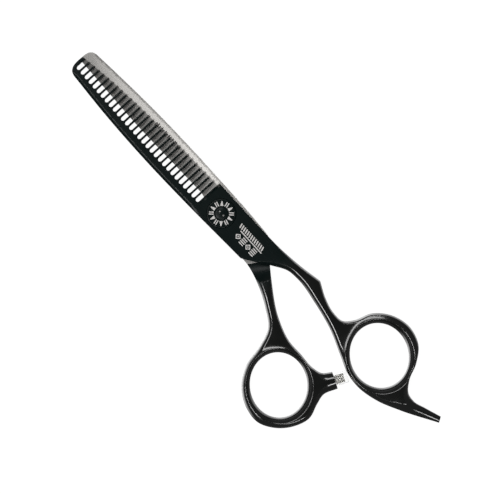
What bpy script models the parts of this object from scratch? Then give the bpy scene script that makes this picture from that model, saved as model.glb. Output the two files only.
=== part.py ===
"""Hair thinning shears, 6 inch class, lying closed on their plain-bladed side.

Two forged halves turn on a flush pivot screw. The upper half carries the comb blade, the finger ring and
its hook. The lower half carries the plain cutting blade, the thumb ring and the bumper. The screw clamps
the halves through a caged thrust bearing that sits in a counterbore of the comb blade.

Frame: the origin is on the pivot axis, on the surface that the shears lie on. +Y runs along the closed
blades to their tips and +Z points up, through the comb half. All sizes below are in millimetres.
"""

import math

import bmesh
import bpy
import numpy as np
from mathutils import Matrix, Vector, geometry

MM = 0.001

# Driving dimensions
HALF_THICK = 2.8  # from the plane where the blades meet to either outer face
MID = HALF_THICK  # height of that plane above the surface underneath
RIDE = 0.1  # each blade's inner face stands this far from the middle plane
BLADE_END = 68.45  # pivot axis to the tips

TEETH = 30
TOOTH_PITCH = 2.0
FIRST_GAP = 8.53  # pivot axis to the middle of the gap nearest to it
GAP_WIDTH = 1.35
TOOTH_TIP_THICK = 0.45  # share of the blade's thickness left at a tooth's tip
BLADE_TIP_THICK = 1.6
BLADE_TAPER = (4, BLADE_END + 25, 1.25)  # where the thinning starts and ends, and how strong it is
SPINE_BEVEL = (0.9, 0.5)  # width and depth
CUTTING_EDGE_SHARE = 0.08  # share of the thickness left at the plain blade's edge
GRIND_WIDTH = 4.2  # from the plain blade's edge to where it has its full thickness

HANDLE_EDGE_ROUND = 1.3
HANDLE_EDGE_LAND = 0.2  # share of the thickness that stays as an upright wall on a rounded edge
PLATE_EDGE_ROUND = 0.35
PLATE_EDGE_LAND = 0.87
RING_ROUND = 2.0
SHANK_BLEND = (-17.0, -32.0)  # where the plate's edges turn into the handle's
SHANK_RISE = (0.5, 6.5)  # clear distance from the other half over which a shank reaches full thickness
SHANK_RISE_FROM = (-13.0, -18.0)  # above this the halves stay flat where they face each other
HOOK_TAPER = (-82.0, -98.0, 0.62)

FINGER_HOLE = ((6.7, -69.05), 10.7, 9.6, 64.2)  # centre, half axes, angle of the long one
THUMB_HOLE = ((-24.1, -53.9), 10.7, 9.4, 52.8)
RING_POINTS = 40
SAMPLE_SPACING, SAMPLE_EDGE_GAP = 0.55, 0.3  # of the points that carry a half's surface

# Pivot stack: radii, and heights measured from the middle plane
DISC_R, DISC_TOP, DISC_UNDER = 4.75, 2.84, 2.25
COUNTERBORE_R, COUNTERBORE_FLOOR = 4.85, 0.75
SCREW_HEAD_R, SCREW_SHANK_R, SCREW_TIP = 2.0, 1.5, -1.9
SCREW_HEAD_THICK = 0.6
KEY_HOLE_R, KEY_HOLE_OFFSET, KEY_HOLE_DEPTH = 0.33, 0.89, 0.4
RACE_R = (3.1, 4.72)
UPPER_RACE, LOWER_RACE_TOP = (1.89, 2.06), 1.03
SPRING_WASHER = [(4.6, 2.22), (3.05, 2.17), (3.05, 2.09), (4.6, 2.14)]  # section of the coned washer
BALLS, BALL_R, BALL_CIRCLE_R, BALL_HEIGHT = 8, 0.4, 3.95, 1.46
CAGE_R, CAGE_THICK, POCKET_R = (3.2, 4.7), 0.32, 0.46
BARREL_R, BARREL_TOP = 2.0, 1.3
NUT_FLANGE_R, NUT_FLANGE_FLAT, NUT_FLANGE_THICK = 3.6, 3.0, 0.8
NUT_KEY_HOLE_R, NUT_KEY_HOLE_OFFSET = 0.43, 2.1
BUSH_R, BUSH_FLANGE_R, BUSH_TOP = 2.52, 3.0, 1.08
WASHER_R, WASHER_POCKET_DEPTH = (2.15, 4.1), 0.25
RUNNING = 0.06  # radial clearance of a turning fit
SEAT = 0.03  # axial gap between stacked pieces
THREAD_DEPTH, SCREW_PITCH = 0.25, 0.5
PAST = 4  # cutters reach this far from the middle plane, past every face

# Bumper
BOSS_LOW, BOSS_HIGH = (-10.65, -67.8), (-8.3, -62.6)  # corners of the boss's end face
BUMPER_R, BUMPER_START, BUMPER_REACH = 1.95, 0.9, 4.4
BUMPER_END_ROUND = 0.45
STUD_R, STUD_REACH, STUD_DEPTH, STUD_PITCH = 1.6, 3.15, 3.6, 0.6
STUD_HOLE_DEPTH = 4.8  # leaves the bumper room to be screwed in

# Outlines, anticlockwise from above. Each stretch is smooth, starts where the one before it ends, and is
# followed by a corner. (0, 0) is the pivot.
COMB_HEEL = (6.15, 7.5)
COMB_TIP_CORNER = (0.9, BLADE_END)
COMB_TIP = [(-1.6, BLADE_END), (-3.4, 68.05), (-4.6, 67.15), (-5.15, 65.8)]
COMB_SPINE = [(-6.15, 50), (-6.6, 30), (-6.25, 10), (-5.45, -10), (-5.25, -15)]
FINGER_SHANK_INNER = [(-2.3, -19.5), (1.1, -24.4), (3.35, -28.4), (3.9, -33), (2.8, -42), (0.6, -52),
                      (-2.7, -60.5), (-4.95, -66.5), (-5.45, -71.5), (-4.0, -79), (-0.5, -86.7), (6.2, -98.4)]
HOOK_END = [(8.0, -97.3)]
FINGER_RING_OUTER = [(6.15, -91.8), (4.9, -87.8), (5.3, -84.7), (8.25, -81.75), (13.7, -79.15), (18.5, -75),
                     (20.3, -69), (18.45, -62), (13.95, -57.15), (8.4, -55), (5.5, -52.7), (5.1, -48.4),
                     (6.35, -43.4), (8.9, -38)]
COMB_PLATE_SIDE = [(7.5, -30.5), (6.45, -21.5), (6.2, -8), COMB_HEEL]

CUTTING_SPINE = [(6.85, -6), (7.05, 8), (7.1, 20), (6.8, 37), (5.85, 55), (5.05, 65.8)]
CUTTING_TIP = [(4.6, 67.2), (3.65, 68.05), (2.2, BLADE_END), (-0.1, BLADE_END)]
CUTTING_EDGE = [(-0.5, 55), (-0.85, 40), (-0.5, 22), (-0.25, 9.3)]
CUTTING_HEEL = [(-0.9, 7), (-2.8, 4.8), (-4.7, 0), (-4.95, -11.5), (-5.1, -18.5), (-6.85, -25),
                (-10.1, -32.1), (-14.2, -38), (-20.3, -40.5), (-27.1, -41.9), (-33.3, -46), (-36.95, -52.5),
                (-37.35, -58.3), (-34.6, -63.25), (-29.35, -67.3), (-24, -68.7), (-18.9, -66.95),
                (-15.6, -66.1), BOSS_LOW]
BOSS_FACE = [BOSS_HIGH]
THUMB_SHANK_INNER = [(-11.05, -60.6), (-12.1, -57.1), (-11.95, -51.5), (-11.9, -46), (-9.35, -37.9),
                     (-2.6, -27), (1.9, -21.05), (6.4, -15.6)]


def clear_scene():
    for obj in list(bpy.data.objects):
        bpy.data.objects.remove(obj)


def material(name, colour, roughness, metallic):
    made = bpy.data.materials.new(name)
    made.use_nodes = True
    shader = made.node_tree.nodes["Principled BSDF"]
    shader.inputs["Base Color"].default_value = (*colour, 1)
    shader.inputs["Roughness"].default_value = roughness
    shader.inputs["Metallic"].default_value = metallic
    return made


def smooth_step(start, end, value):
    t = np.clip((value - start) / (end - start), 0, 1)
    return t * t * (3 - 2 * t)


def curve_through(points, step):
    """Points about a step apart on a smooth curve through the given ones, both ends included."""
    points = [Vector(p) for p in points]
    padded = [2 * points[0] - points[1], *points, 2 * points[-1] - points[-2]]
    slopes = []
    for before, here, after in zip(padded, padded[1:], padded[2:]):
        back, ahead = here - before, after - here
        near, far = back.length, ahead.length
        slopes.append((back / near * far + ahead / far * near) / (near + far))
    made = []
    for start, end, leave, arrive in zip(points, points[1:], slopes, slopes[1:]):
        span = (end - start).length
        pieces = max(1, round(span / step))
        for i in range(pieces):
            t = i / pieces
            u = t * t * (3 - 2 * t)
            bulge = leave * t * (1 - t) ** 2 - arrive * t**2 * (1 - t)
            made.append(start * (1 - u) + end * u + span * bulge)
    return [*made, points[-1]]


def outline(stretches):
    """(closed loop of points, the list of its stretches) from [(points, step), ...]. A stretch with no
    step keeps straight lines between its points."""
    loop, parts = [], []
    start = stretches[-1][0][-1]
    for points, step in stretches:
        part = curve_through([start, *points], step) if step else [Vector(start), *map(Vector, points)]
        parts.append(part)
        loop += part[:-1]
        start = points[-1]
    return loop, parts


def ellipse(centre, long_half, short_half, degrees):
    turn = Matrix.Rotation(math.radians(degrees), 2)
    angles = (2 * math.pi * i / RING_POINTS for i in range(RING_POINTS))
    return [Vector(centre) + turn @ Vector((long_half * math.cos(a), short_half * math.sin(a)))
            for a in angles]


def distance_to(points, path, closed=False):
    """Distance in the plan from each point to a path."""
    path = np.array([tuple(p)[:2] for p in path], float)
    ends = np.roll(path, -1, axis=0) if closed else path[1:]
    starts = path if closed else path[:-1]
    nearest = np.full(len(points), np.inf)
    for a, b in zip(starts, ends):
        along = b - a
        t = np.clip((points - a) @ along / max(along @ along, 1e-12), 0, 1)
        nearest = np.minimum(nearest, np.linalg.norm(points - a - t[:, None] * along, axis=1))
    return nearest


def inside(points, loop):
    """Whether each point lies in a closed loop."""
    loop = np.array([tuple(p)[:2] for p in loop], float)
    found = np.zeros(len(points), bool)
    for (ax, ay), (bx, by) in zip(loop, np.roll(loop, -1, axis=0)):
        crosses = (ay > points[:, 1]) != (by > points[:, 1])
        with np.errstate(divide="ignore", invalid="ignore"):
            at = ax + (points[:, 1] - ay) * (bx - ax) / (by - ay)
        found ^= crosses & (points[:, 0] < at)
    return found


def offset_points(path, offsets):
    """Points at the given distances to the left of a path."""
    made = []
    for before, here, after in zip(path, path[1:], path[2:]):
        along = (after - before).normalized()
        made += [here + offset * Vector((-along.y, along.x)) for offset in offsets]
    return made


def plan_points(loop, holes, soft_edges, offsets, grid, rows):
    """Where the surface of a half is sampled between its outlines."""
    wanted = [p for path in soft_edges for p in offset_points(path, offsets)]
    for hole in holes:
        around = [*hole, hole[0], hole[1]][::-1]
        wanted += offset_points(around, [0.35 * RING_ROUND, 0.9 * RING_ROUND])
    for y in rows:
        wanted += [Vector((x, y)) for x in np.arange(-40, 24, grid)]
    kept = np.array([tuple(p) for p in wanted])
    kept = kept[inside(kept, loop)]
    for hole in holes:
        kept = kept[~inside(kept, hole)]
    away = distance_to(kept, loop, closed=True)
    for hole in holes:
        away = np.minimum(away, distance_to(kept, hole, closed=True))
    kept = kept[away > SAMPLE_EDGE_GAP]
    spaced = []
    for p in kept:
        if all(abs(p[0] - q[0]) + abs(p[1] - q[1]) > SAMPLE_SPACING for q in spaced):
            spaced.append(p)
    return spaced


def solid_between(name, loop, holes, extra, heights):
    """A closed solid over the area inside the loop, between the two heights that heights(points) gives."""
    loops = [loop, *holes]
    flat = [Vector(p) for ring in loops for p in ring]
    edges, first = [], 0
    for ring in loops:
        edges += [(first + i, first + (i + 1) % len(ring)) for i in range(len(ring))]
        first += len(ring)
    flat += [Vector(p) for p in extra]
    points, made_edges, faces = geometry.delaunay_2d_cdt(flat, edges, [], 0, 1e-7)[:3]
    points = np.array([tuple(p) for p in points])
    centres = np.array([points[list(f)].mean(axis=0) for f in faces])
    keep = inside(centres, loop)
    for hole in holes:
        keep &= ~inside(centres, hole)
    faces = [f for f, kept in zip(faces, keep) if kept]
    low, high = heights(points)
    bm = bmesh.new()
    used = sorted({i for f in faces for i in f})
    under = {i: bm.verts.new((points[i, 0] * MM, points[i, 1] * MM, low[i] * MM)) for i in used}
    over = {i: bm.verts.new((points[i, 0] * MM, points[i, 1] * MM, high[i] * MM)) for i in used}
    directed = set()
    for f in faces:
        bm.faces.new([over[i] for i in f])
        bm.faces.new([under[i] for i in reversed(f)])
        directed |= {(f[k], f[(k + 1) % 3]) for k in range(3)}
    for a, b in directed:
        if (b, a) not in directed:
            bm.faces.new([under[a], under[b], over[b], over[a]])
    return finish(name, bm)


def finish(name, bm):
    """An object made from a bmesh."""
    bmesh.ops.recalc_face_normals(bm, faces=bm.faces)
    mesh = bpy.data.meshes.new(name)
    bm.to_mesh(mesh)
    bm.free()
    mesh.shade_smooth()
    mesh.set_sharp_from_angle(angle=math.radians(35))
    obj = bpy.data.objects.new(name, mesh)
    bpy.context.scene.collection.objects.link(obj)
    return obj


def turned(name, profile, segments):
    """A solid of revolution about Z from a closed profile of (radius, height from the middle plane)."""
    bm = bmesh.new()
    verts = [bm.verts.new((r * MM, 0, (MID + z) * MM)) for r, z in profile]
    edges = [bm.edges.new(pair) for pair in zip(verts, verts[1:])]
    if profile[0][0] or profile[-1][0]:
        edges.append(bm.edges.new((verts[-1], verts[0])))
    bmesh.ops.spin(bm, geom=verts + edges, cent=(0, 0, 0), axis=(0, 0, 1), angle=2 * math.pi,
                   steps=segments, use_merge=True)
    bmesh.ops.remove_doubles(bm, verts=bm.verts, dist=1e-7)
    return finish(name, bm)


def ring_profile(radii, low, high):
    inner, outer = radii
    return [(outer, high), (inner, high), (inner, low), (outer, low)]


def cylinder(name, radius, low, high, x=0.0, y=0.0, segments=24):
    made = turned(name, [(0, low), (radius, low), (radius, high), (0, high)], segments)
    made.location = (x * MM, y * MM, 0)
    return made


def cut(obj, cutter, operation="DIFFERENCE"):
    cutter.hide_render = True
    cutter.display_type = "WIRE"
    modifier = obj.modifiers.new(cutter.name, "BOOLEAN")
    modifier.operation = operation
    modifier.solver = "EXACT"
    modifier.object = cutter


def edge_profile(distance, radius):
    """0 at an edge, 1 once the distance reaches the radius, along a quarter circle."""
    return np.sqrt(1 - (1 - np.clip(distance / radius, 0, 1)) ** 2)


def tooth_tip_x(y):
    """The line of the tooth tips, which draws in towards the blade's end."""
    t = (y - FIRST_GAP) / (BLADE_END - FIRST_GAP)
    return 5.3 - 1.5 * t - 2.6 * t**3


def gap_root_x(y):
    """The line of the gap bottoms, which follows the spine."""
    t = (y - 30) / 38
    return -3.58 + 0.75 * t**2


def comb_teeth():
    """Points along the comb's toothed side, from the heel to the last tooth."""
    half_gap = GAP_WIDTH / 2
    made = []
    for k in range(TEETH):
        middle = FIRST_GAP + k * TOOTH_PITCH
        low, high = middle - half_gap, middle + half_gap
        root = gap_root_x(middle) + half_gap
        made += [(tooth_tip_x(low) if k else COMB_HEEL[0], low), (root, low)]
        for i in range(1, 6):
            angle = math.pi * i / 6
            made.append((root - half_gap * math.sin(angle), middle - half_gap * math.cos(angle)))
        made += [(root, high), (tooth_tip_x(high), high)]
    return [*made, COMB_TIP_CORNER]


def blade_thickness(y):
    full = HALF_THICK - RIDE
    start, end, strength = BLADE_TAPER
    return full + (BLADE_TIP_THICK - full) * smooth_step(start, end, y) * strength


def handle_half_height(points, soft_edges, hole):
    """Half the thickness of a handle, round at its outer edges and rounder inside the ring."""
    outer = np.min([distance_to(points, path) for path in soft_edges], axis=0)
    inner = distance_to(points, hole, closed=True)
    land = HANDLE_EDGE_LAND
    rounded = edge_profile(outer, HANDLE_EDGE_ROUND) * edge_profile(inner, RING_ROUND)
    start, end, share = HOOK_TAPER
    taper = 1 + (share - 1) * smooth_step(start, end, points[:, 1])
    return HALF_THICK * taper * (land + (1 - land) * rounded)


def plate_edge(points, soft_edges):
    """Share of the thickness left near a plate's edge."""
    outer = np.min([distance_to(points, path) for path in soft_edges], axis=0)
    return PLATE_EDGE_LAND + (1 - PLATE_EDGE_LAND) * edge_profile(outer, PLATE_EDGE_ROUND)


def shank_rise(points, other):
    """0 where a half faces the other half's loop, 1 where its shank has the full thickness. Between them
    the surface is a cove, hollow like the inside of a wheel."""
    clear = np.where(inside(points, other), 0, distance_to(points, other, closed=True))
    start, end = SHANK_RISE
    cove = 1 - np.sqrt(1 - np.clip((clear - start) / (end - start), 0, 1) ** 2)
    return cove * smooth_step(*SHANK_RISE_FROM, points[:, 1])


def outlines():
    """The loops of both halves, with the stretches whose edges are rounded."""
    comb = outline([(comb_teeth(), None), (COMB_TIP, 0.9), (COMB_SPINE, 9), (FINGER_SHANK_INNER, 2.2),
                    (HOOK_END, 2), (FINGER_RING_OUTER, 2.2), (COMB_PLATE_SIDE, 4)])
    cutting = outline([(CUTTING_SPINE, 8), (CUTTING_TIP, 0.9), (CUTTING_EDGE, 8), (CUTTING_HEEL, 2.2),
                       (BOSS_FACE, 2), (THUMB_SHANK_INNER, 2.2)])
    return comb, cutting


def comb_half(steel, comb, cutting):
    """The toothed blade with its shank, finger ring and hook: one forging."""
    loop, parts = comb
    _, _, spine, shank, _, ring, side = parts
    hole = ellipse(*FINGER_HOLE)
    soft = [spine, shank, ring, side]

    def heights(points):
        y = points[:, 1]
        handle = handle_half_height(points, soft, hole)
        to_handle = smooth_step(*SHANK_BLEND, y)
        width = tooth_tip_x(y) - gap_root_x(y)
        along_tooth = np.clip((points[:, 0] - gap_root_x(y)) / width, 0, 1) * (y > COMB_HEEL[1])
        thick = blade_thickness(y) * (1 - (1 - TOOTH_TIP_THICK) * along_tooth)
        bevel_wide, bevel_deep = SPINE_BEVEL
        near_spine = np.clip(1 - distance_to(points, spine) / bevel_wide, 0, 1)
        thick -= bevel_deep * near_spine * smooth_step(2, 12, y)
        plate = RIDE + thick * np.where(y > COMB_HEEL[1], 1, plate_edge(points, soft))
        high = plate + (handle - plate) * to_handle
        low = RIDE - (RIDE + handle) * shank_rise(points, cutting[0])
        return MID + low, MID + high

    extra = plan_points(loop, [hole], [shank, ring], [0.45, 1.25], 2.4,
                        [*np.arange(-34, 4, 2.4), *np.arange(-56, -50, 2)])
    obj = solid_between("comb_blade", loop, [hole], extra, heights)
    bore = BUSH_R + SEAT
    cut(obj, turned("comb_bore", [(0, PAST), (0, -PAST), (bore, -PAST), (bore, COUNTERBORE_FLOOR),
                                  (COUNTERBORE_R, COUNTERBORE_FLOOR), (COUNTERBORE_R, PAST)], 48))
    obj.data.materials.append(steel)
    return obj


def cutting_half(steel, comb, cutting):
    """The plain blade with its shank, thumb ring and bumper boss: one forging."""
    loop, parts = cutting
    spine, _, edge, heel, _, shank = parts
    hole = ellipse(*THUMB_HOLE)
    soft = [spine, heel, shank]

    def heights(points):
        y = points[:, 1]
        handle = handle_half_height(points, soft, hole)
        to_handle = smooth_step(*SHANK_BLEND, y)
        from_edge = distance_to(points, edge)
        across = np.clip(from_edge / GRIND_WIDTH, 0, 1)
        ground = CUTTING_EDGE_SHARE + (1 - CUTTING_EDGE_SHARE) * np.sin(across * math.pi / 2)
        blade_part = smooth_step(3, 10, y)
        thick = blade_thickness(y) * (1 + (ground - 1) * blade_part)
        plate = RIDE + thick * plate_edge(points, soft)
        low = -(plate + (handle - plate) * to_handle)
        high = -RIDE + (RIDE + handle) * shank_rise(points, comb[0])
        return MID + low, MID + high

    extra = plan_points(loop, [hole], [heel, shank], [0.45, 1.25], 2.4,
                        [*np.arange(-34, 12, 2.4), *np.arange(15, 66, 5), *np.arange(-64, -59, 2)])
    obj = solid_between("cutting_blade", loop, [hole], extra, heights)
    bore = BARREL_R + RUNNING
    cut(obj, turned("nut_bore", [(0, PAST), (0, -PAST), (bore, -PAST), (bore, PAST)], 40))
    cut(obj, flange_shape("nut_pocket", NUT_FLANGE_R + RUNNING, NUT_FLANGE_FLAT + RUNNING, -PAST,
                          NUT_FLANGE_THICK + SEAT - HALF_THICK))
    floor = -RIDE - WASHER_POCKET_DEPTH
    cut(obj, cylinder("washer_pocket", WASHER_R[1] + RUNNING, floor, 1, segments=40))
    cut(obj, place_on_boss(turned("stud_hole", [(0, 1), (0, -STUD_HOLE_DEPTH),
                                                (STUD_R + RUNNING, -STUD_HOLE_DEPTH),
                                                (STUD_R + RUNNING, 1)], 20)))
    obj.data.materials.append(steel)
    return obj


def flange_shape(name, radius, flat, low, high):
    """A round plate with two flats that stop it turning."""
    bm = bmesh.new()
    corner = math.acos(flat / radius)
    ring = []
    for side in (0, math.pi):
        for angle in np.linspace(side + corner, side + math.pi - corner, 9):
            ring.append((radius * math.cos(angle), radius * math.sin(angle)))
    verts = [bm.verts.new((x * MM, y * MM, (MID + low) * MM)) for x, y in ring]
    base = bm.faces.new(verts)
    grown = bmesh.ops.extrude_face_region(bm, geom=[base])
    top = [v for v in grown["geom"] if isinstance(v, bmesh.types.BMVert)]
    bmesh.ops.translate(bm, verts=top, vec=(0, 0, (high - low) * MM))
    return finish(name, bm)


def place_on_boss(obj):
    """Moves a piece turned about Z so that its axis leaves the middle of the boss's end face."""
    low, high = Vector(BOSS_LOW), Vector(BOSS_HIGH)
    centre = (low + high) / 2
    face = (high - low).normalized()
    outward = Vector((face.y, -face.x, 0))
    turn = outward.to_track_quat("Z", "Y").to_matrix().to_4x4()
    move = Matrix.Translation((centre.x * MM, centre.y * MM, MID * MM))
    obj.data.transform(Matrix.Translation((0, 0, -MID * MM)))
    obj.matrix_world = move @ turn
    return obj


def threaded(radius, start, end, pitch):
    """Profile points of a threaded length, as V-shaped rings."""
    turns = int((end - start) / pitch)
    made = []
    for i in range(turns):
        made += [(radius, start + i * pitch), (radius - THREAD_DEPTH, start + (i + 0.5) * pitch)]
    return [*made, (radius, start + turns * pitch), (radius, end)]


def pivot_pieces(black, steel, polymer, brass):
    head_under = DISC_TOP - SCREW_HEAD_THICK
    thread = threaded(SCREW_SHANK_R, SCREW_TIP, BARREL_TOP - 0.2, SCREW_PITCH)
    screw = turned("pivot_screw", [(0, SCREW_TIP), *thread, (SCREW_SHANK_R, head_under),
                                   (SCREW_HEAD_R, head_under), (SCREW_HEAD_R, DISC_TOP), (0, DISC_TOP)], 32)
    for i, side in enumerate((-1, 1)):
        cut(screw, cylinder(f"screw_key_hole_{i}", KEY_HOLE_R, DISC_TOP - KEY_HOLE_DEPTH, PAST,
                            y=side * KEY_HOLE_OFFSET, segments=12))
    hub_r, hub_under = RACE_R[0] - 0.2, BARREL_TOP + 0.12
    seat = head_under - SEAT
    disc = turned("tension_disc", [
        (DISC_R, DISC_TOP), (SCREW_HEAD_R + SEAT, DISC_TOP), (SCREW_HEAD_R + SEAT, seat),
        (SCREW_SHANK_R + SEAT, seat), (SCREW_SHANK_R + SEAT, hub_under), (hub_r, hub_under),
        (hub_r, DISC_UNDER), (DISC_R, DISC_UNDER)], 48)
    spring = turned("spring_washer", SPRING_WASHER, 36)
    upper = turned("upper_race", ring_profile(RACE_R, *UPPER_RACE), 36)
    lower = turned("lower_race", ring_profile(RACE_R, COUNTERBORE_FLOOR + SEAT, LOWER_RACE_TOP), 36)
    half_cage = CAGE_THICK / 2
    cage = turned("ball_cage", ring_profile(CAGE_R, BALL_HEIGHT - half_cage, BALL_HEIGHT + half_cage), 48)
    balls = []
    for i in range(BALLS):
        angle = 2 * math.pi * (i + 0.5) / BALLS
        x, y = BALL_CIRCLE_R * math.cos(angle), BALL_CIRCLE_R * math.sin(angle)
        cut(cage, cylinder(f"pocket_{i + 1}", POCKET_R, BALL_HEIGHT - 1, BALL_HEIGHT + 1, x, y, 16))
        balls.append(ball(f"bearing_ball_{i + 1}", x, y))
    bush = turned("pivot_bush", [
        (BUSH_R, RIDE + SEAT), (BUSH_R, COUNTERBORE_FLOOR + SEAT), (BUSH_FLANGE_R, COUNTERBORE_FLOOR + SEAT),
        (BUSH_FLANGE_R, BUSH_TOP), (BARREL_R + RUNNING, BUSH_TOP), (BARREL_R + RUNNING, RIDE + SEAT)], 40)
    washer_low = -RIDE - WASHER_POCKET_DEPTH + SEAT
    washer = turned("blade_washer", ring_profile(WASHER_R, washer_low, RIDE - SEAT), 40)
    nut = barrel_nut()
    for obj, finish_of in ((screw, black), (disc, black), (spring, steel), (upper, steel), (lower, steel),
                           (cage, brass), (bush, polymer), (washer, polymer), (nut, steel)):
        obj.data.materials.append(finish_of)
    for obj in balls:
        obj.data.materials.append(steel)


def ball(name, x, y):
    bm = bmesh.new()
    bmesh.ops.create_icosphere(bm, subdivisions=2, radius=BALL_R * MM)
    obj = finish(name, bm)
    obj.location = (x * MM, y * MM, (MID + BALL_HEIGHT) * MM)
    return obj


def barrel_nut():
    """The closed nut let into the plain blade's back. Its flats stop it turning; its end is the flat face
    that the shears lie on."""
    flange_top = NUT_FLANGE_THICK - HALF_THICK
    nut = flange_shape("pivot_nut", NUT_FLANGE_R, NUT_FLANGE_FLAT, -HALF_THICK, flange_top)
    barrel = cylinder("nut_barrel", BARREL_R, flange_top - 0.4, BARREL_TOP, segments=40)
    cut(nut, barrel, "UNION")
    cut(nut, cylinder("nut_thread", SCREW_SHANK_R + RUNNING, SCREW_TIP - 0.1, PAST, segments=32))
    for i, side in enumerate((-1, 1)):
        cut(nut, cylinder(f"nut_key_hole_{i}", NUT_KEY_HOLE_R, -PAST, KEY_HOLE_DEPTH - HALF_THICK,
                          x=side * NUT_KEY_HOLE_OFFSET, segments=12))
    return nut


def bumper_pieces(steel, clear):
    thread = threaded(STUD_R, -STUD_DEPTH, STUD_REACH, STUD_PITCH)
    stud = place_on_boss(turned("bumper_stud", [(0, -STUD_DEPTH), *thread, (0, STUD_REACH)], 20))
    bore = STUD_R + SEAT
    shoulder = BUMPER_END_ROUND
    cap = place_on_boss(turned("bumper_cap", [
        (0, STUD_REACH + SEAT), (bore, STUD_REACH + SEAT), (bore, BUMPER_START), (BUMPER_R, BUMPER_START),
        (BUMPER_R, BUMPER_REACH - shoulder), (BUMPER_R - 0.3 * shoulder, BUMPER_REACH - 0.3 * shoulder),
        (BUMPER_R - shoulder, BUMPER_REACH), (0, BUMPER_REACH)], 28))
    stud.data.materials.append(steel)
    cap.data.materials.append(clear)


def main():
    clear_scene()
    black = material("black_coating", (0.012, 0.016, 0.017), 0.3, 0.6)
    steel = material("bare_steel", (0.6, 0.59, 0.57), 0.3, 1.0)
    brass = material("cage_brass", (0.7, 0.52, 0.25), 0.4, 1.0)
    polymer = material("white_polymer", (0.8, 0.8, 0.77), 0.5, 0.0)
    clear = material("clear_silicone", (0.85, 0.86, 0.84), 0.2, 0.0)
    comb, cutting = outlines()
    comb_half(black, comb, cutting)
    cutting_half(black, comb, cutting)
    pivot_pieces(black, steel, polymer, brass)
    bumper_pieces(steel, clear)


main()
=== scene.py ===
"""Looks of the hair thinning shears: fine surfaces, finishes, marks, light and camera around the CAD frame.

Outlines and heights are in millimetres here, as a toolmaker would give them. Z is measured from the middle
plane where the blades meet, and (0, 0) is the pivot axis. Finished meshes are in metres.
"""

import math

import bmesh
import bpy
import numpy as np
from mathutils import Matrix, Vector, geometry


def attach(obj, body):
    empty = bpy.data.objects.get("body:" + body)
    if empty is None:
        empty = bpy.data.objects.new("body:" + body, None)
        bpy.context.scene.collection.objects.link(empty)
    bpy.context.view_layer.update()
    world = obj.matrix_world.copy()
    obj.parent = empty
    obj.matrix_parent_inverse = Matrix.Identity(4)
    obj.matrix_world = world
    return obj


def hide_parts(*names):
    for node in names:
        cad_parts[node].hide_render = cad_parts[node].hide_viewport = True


MM = 0.001
HALF_THICK = 2.8
MID = HALF_THICK
RIDE = 0.1  # from the middle plane to each half's inner face

# Blades
BLADE_END = 68.45
TEETH = 30
TOOTH_PITCH = 2.0
FIRST_GAP = 8.53
GAP_WIDTH = 1.35
GAP_ROOTS = (-3.58, 0.75, 30, 38)  # X of the line of the gaps' ends: least, bend, Y of the least and Y scale
TOOTH_TIPS = (5.3, 1.5, 2.6)  # X of the line of their tips at the heel, and its fall by share and share cubed
TOOTH_TIP_THICK = 0.45  # share of the thickness at a tooth's root
BLADE_TIP_THICK = 1.6
SPINE_BEVEL = (0.9, 0.5)  # width and depth
TOOTH_TIP_FACET = (0.45, 0.7)  # length and drop of the bare ground facet at each tooth's tip
TOOTH_EDGE_ROUND = 0.05
CUTTING_EDGE_SHARE = 0.08  # share of the blade's thickness left at its edge
GRIND_WIDTH = 4.2
HOLLOW_GRIND = 0.14  # depth of the hollow in the cutting blade's inner face
HONED_LINE = 0.7  # width of the flat left beside the cutting edge
INNER_SPINE_BEVEL = (0.55, 0.16)
SPINE_ROUND = 0.3

# Handles
HANDLE_EDGE_LAND = 0.2  # share of the half thickness that is upright at an edge
PLATE_END, HANDLE_START = -15, -19  # the blade's section passes into the handle's between these
SAMPLES_SPLIT = -15.5
PLATE_EDGE_DROP = 0.15
HANDLE_EDGE_ROUND = (1.45, 0.75)  # left and right sides
PLATE_EDGE_ROUND = 0.15
ROUND_RAMP = (-17, -25)  # Y where the plate's small round ends and the handle's is full
HOOK_EDGE_ROUND, HOOK_ROUND_RAMP = 2.5, (-80, -88)
HOOK_ROOF, HOOK_ROOF_RAMP = 0.65, (-81, -87)  # how much its sides are straight slopes that meet in a ridge
BOSS_EDGE_ROUND, BOSS_ROUND_RAMP = 2.8, (7.0, 2.5)
RING_BEVEL, RING_BEVEL_SHIFT = 1.6, 0.4  # mean width of the bevel inside the rings, more below, less above
RING_FOOT_SHARE = 0.4  # how much of its height is its rounded foot
DISH_WIDE, DISH_SLOPE = 0.9, 0.35  # the surface behind the crest: its extent, and its slope over the bevel's
DISH_REACH = (30, 6)  # distances from the hole where it ends and where it is full
DISH_FADE = (-0.95, -0.35)  # where it ends and where it is full, in radii above the ring's middle
CREST = 0.15  # half-width of the rounded crest, as a share of the bevel
CROWN_WIDE, CROWN_SHARE = 2.8, 0.1
HANDLE_OFFSETS = [0.05, 0.15, 0.3, 0.48, 0.7, 0.95]  # samples beside a handle's outer sides
RING_OFFSETS = [0.03, 0.11, 0.22, 0.36, 0.54, 0.7, 0.82, 0.9, 0.96, 1.02, 1.08, 1.15, 1.24, 1.34]  # in bevels
COVE_RADIUS = 9.42
COVE_START = 17.6  # pivot axis to the line where the cove leaves the flat inner face
COVE_BARE = 0.15  # how far past that line the steel is bare
COVE_CLEAR = 1.2  # how far outside the other half the comb's cove takes to reach its depth
COVE_NORMAL = Vector((0.54, 0.842)).normalized()
HOOK_TAPER = (-82.0, -98.0, 0.62)  # start, end and the share of thickness left
FINGER_HOLE = ((6.7, -69.05), 10.7, 9.6, 64.2)  # centre, long and short half axes, degrees
THUMB_HOLE = ((-24.1, -53.9), 10.7, 9.4, 52.8)

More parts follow.
